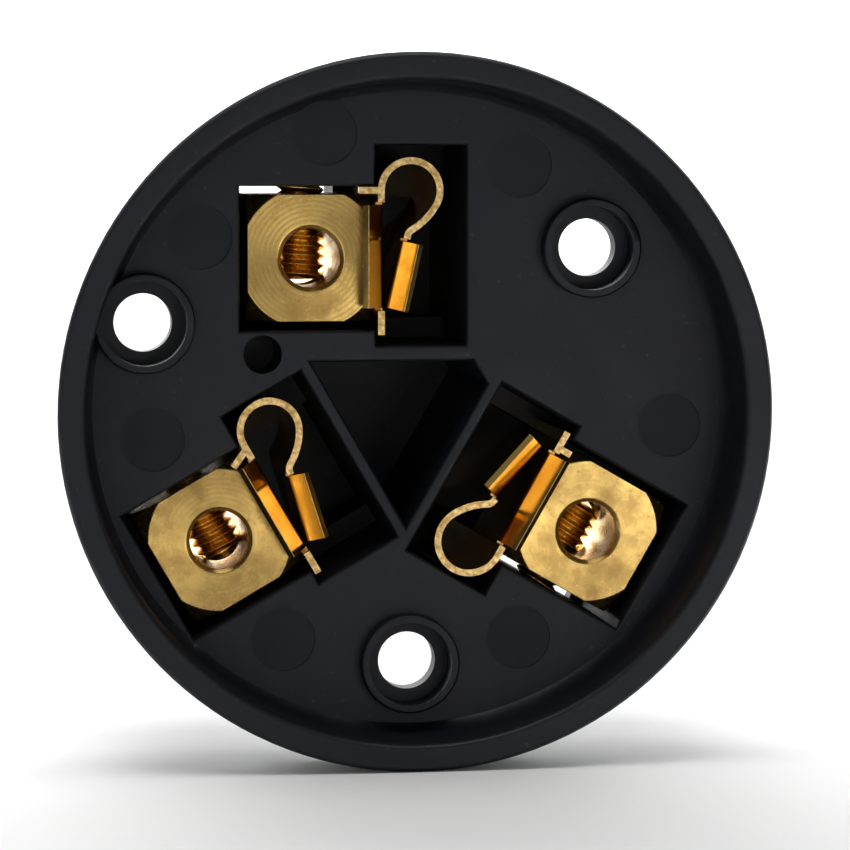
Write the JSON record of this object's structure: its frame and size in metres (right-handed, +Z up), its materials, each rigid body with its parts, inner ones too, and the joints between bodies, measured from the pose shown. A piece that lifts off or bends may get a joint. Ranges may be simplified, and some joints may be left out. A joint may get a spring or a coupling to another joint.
{
  "type": "round contact insert of a power socket",
  "caption": "Round black moulded socket insert with a cup-shaped front, folded brass spring contacts, square brass terminal blocks and clamp screws in stepped pockets.",
  "frame": {"origin": "on the rim's axis, in the plane of the flat back of the contact boxes", "axes": "+Y from the plug side to the wiring side along the rim's axis, +Z up with the earth contact at the top, +X to the right as the plug sees it"},
  "size_m": [0.044, 0.022, 0.044],
  "materials": {
    "moulding": "fine satin, as moulded",
    "block_brass": "drawn bar with a turned end",
    "strip_brass": "bright rolled sheet",
    "screw_brass": "machined"
  },
  "bodies": {
    "insert": {"rim_ring": "moulding", "flange_plate": "moulding", "active_plate": "moulding", "left_screw_ring": "moulding", "right_screw_ring": "moulding", "bottom_screw_ring": "moulding", "earth_housing": "moulding", "neutral_housing": "moulding", "active_housing": "moulding", "core_web": "moulding", "core_housing": "moulding", "earth_terminal_block": "block_brass", "neutral_terminal_block": "block_brass", "active_terminal_block": "block_brass", "earth_contact_strip": "strip_brass", "neutral_contact_strip": "strip_brass", "active_contact_strip": "strip_brass"},
    "earth_screw": {"earth_clamp_screw": "screw_brass"},
    "neutral_screw": {"neutral_clamp_screw": "screw_brass"},
    "active_screw": {"active_clamp_screw": "screw_brass"}
  },
  "joints": [
    {"name": "earth_clamp", "type": "slide", "parent": "insert", "child": "earth_screw", "axis": [0, 0, 1], "range_m": [0, 0.0036]},
    {"name": "neutral_clamp", "type": "slide", "parent": "insert", "child": "neutral_screw", "axis": [-0.5, 0, 0.866], "range_m": [0, 0.0036]},
    {"name": "active_clamp", "type": "slide", "parent": "insert", "child": "active_screw", "axis": [-0.5, 0, -0.866], "range_m": [0, 0.0036]}
  ]
}
